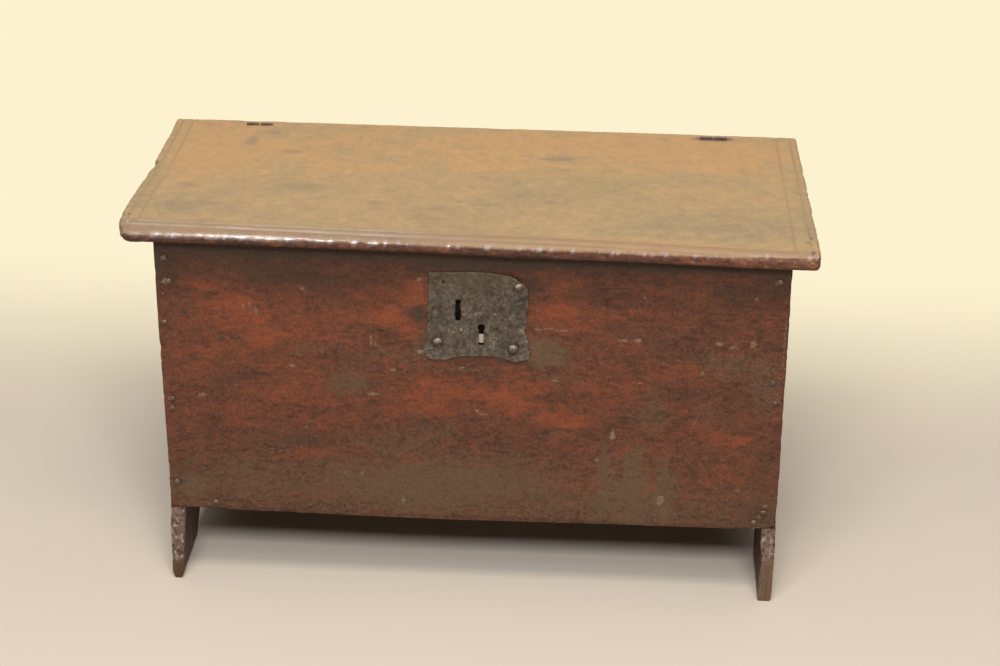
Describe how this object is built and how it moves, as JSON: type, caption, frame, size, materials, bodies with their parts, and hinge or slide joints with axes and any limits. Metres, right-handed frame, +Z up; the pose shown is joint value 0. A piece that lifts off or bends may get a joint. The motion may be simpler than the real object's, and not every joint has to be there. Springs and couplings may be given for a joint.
{
  "type": "coffer chest",
  "caption": "Boarded oak coffer chest: end boards cut as feet, a hinged lid with a moulded edge on linked wire pins, and an iron plate lock with a sliding bolt.",
  "frame": {"origin": "on the floor under the middle of the lid, which is the middle of the whole chest's box", "axes": "+X to the right seen from the front, along the length; -Y to the front, where the lock is; +Z up"},
  "size_m": [0.9, 0.423, 0.5389],
  "materials": {
    "lid_oak": "worn, faded wax over oak, satin",
    "chest_oak": "dark red-brown old finish, worn and patchy, satin",
    "inner_oak": "bare, dry oak",
    "hinge_iron": "forged wire, browned",
    "plate_iron": "forged sheet, pitted, dull grey-brown",
    "lock_iron": "filed and rubbed, dull",
    "nail_iron": "forged, worn bright on the crowns"
  },
  "bodies": {
    "chest": {"front_board": "chest_oak", "back_board": "chest_oak", "left_end_board": "chest_oak", "right_end_board": "chest_oak", "bottom_board": "inner_oak", "left_lower_hinge_pin": "hinge_iron", "right_lower_hinge_pin": "hinge_iron", "lock_plate": "plate_iron", "left_bolt_staple": "lock_iron", "left_staple_rivet": "lock_iron", "right_bolt_staple": "lock_iron", "right_staple_rivet": "lock_iron", "key_ward": "lock_iron", "ward_rivet": "lock_iron", "plate_nail_1": "nail_iron", "plate_nail_2": "nail_iron", "plate_nail_3": "nail_iron", "front_nail_1": "nail_iron", "front_nail_2": "nail_iron", "front_nail_3": "nail_iron", "front_nail_4": "nail_iron", "front_nail_5": "nail_iron", "front_nail_6": "nail_iron", "front_nail_7": "nail_iron", "front_nail_8": "nail_iron", "front_nail_9": "nail_iron", "front_nail_10": "nail_iron", "front_nail_11": "nail_iron", "front_nail_12": "nail_iron", "back_nail_1": "nail_iron", "back_nail_2": "nail_iron", "back_nail_3": "nail_iron", "back_nail_4": "nail_iron", "back_nail_5": "nail_iron", "back_nail_6": "nail_iron", "back_nail_7": "nail_iron", "back_nail_8": "nail_iron", "back_nail_9": "nail_iron", "back_nail_10": "nail_iron", "back_nail_11": "nail_iron"},
    "lid": {"lid_board": "lid_oak", "left_upper_hinge_pin": "hinge_iron", "right_upper_hinge_pin": "hinge_iron"},
    "lock_bolt": {"lock_bolt": "lock_iron", "bolt_spring": "lock_iron"}
  },
  "joints": [
    {"name": "lid_hinge", "type": "hinge", "parent": "chest", "child": "lid", "pos_m": [0, 0.196, 0.502], "axis": [-1, 0, 0], "range_deg": [0, 100]},
    {"name": "lock_bolt_slide", "type": "slide", "parent": "chest", "child": "lock_bolt", "axis": [-1, 0, 0], "range_m": [0, 0.01]}
  ]
}
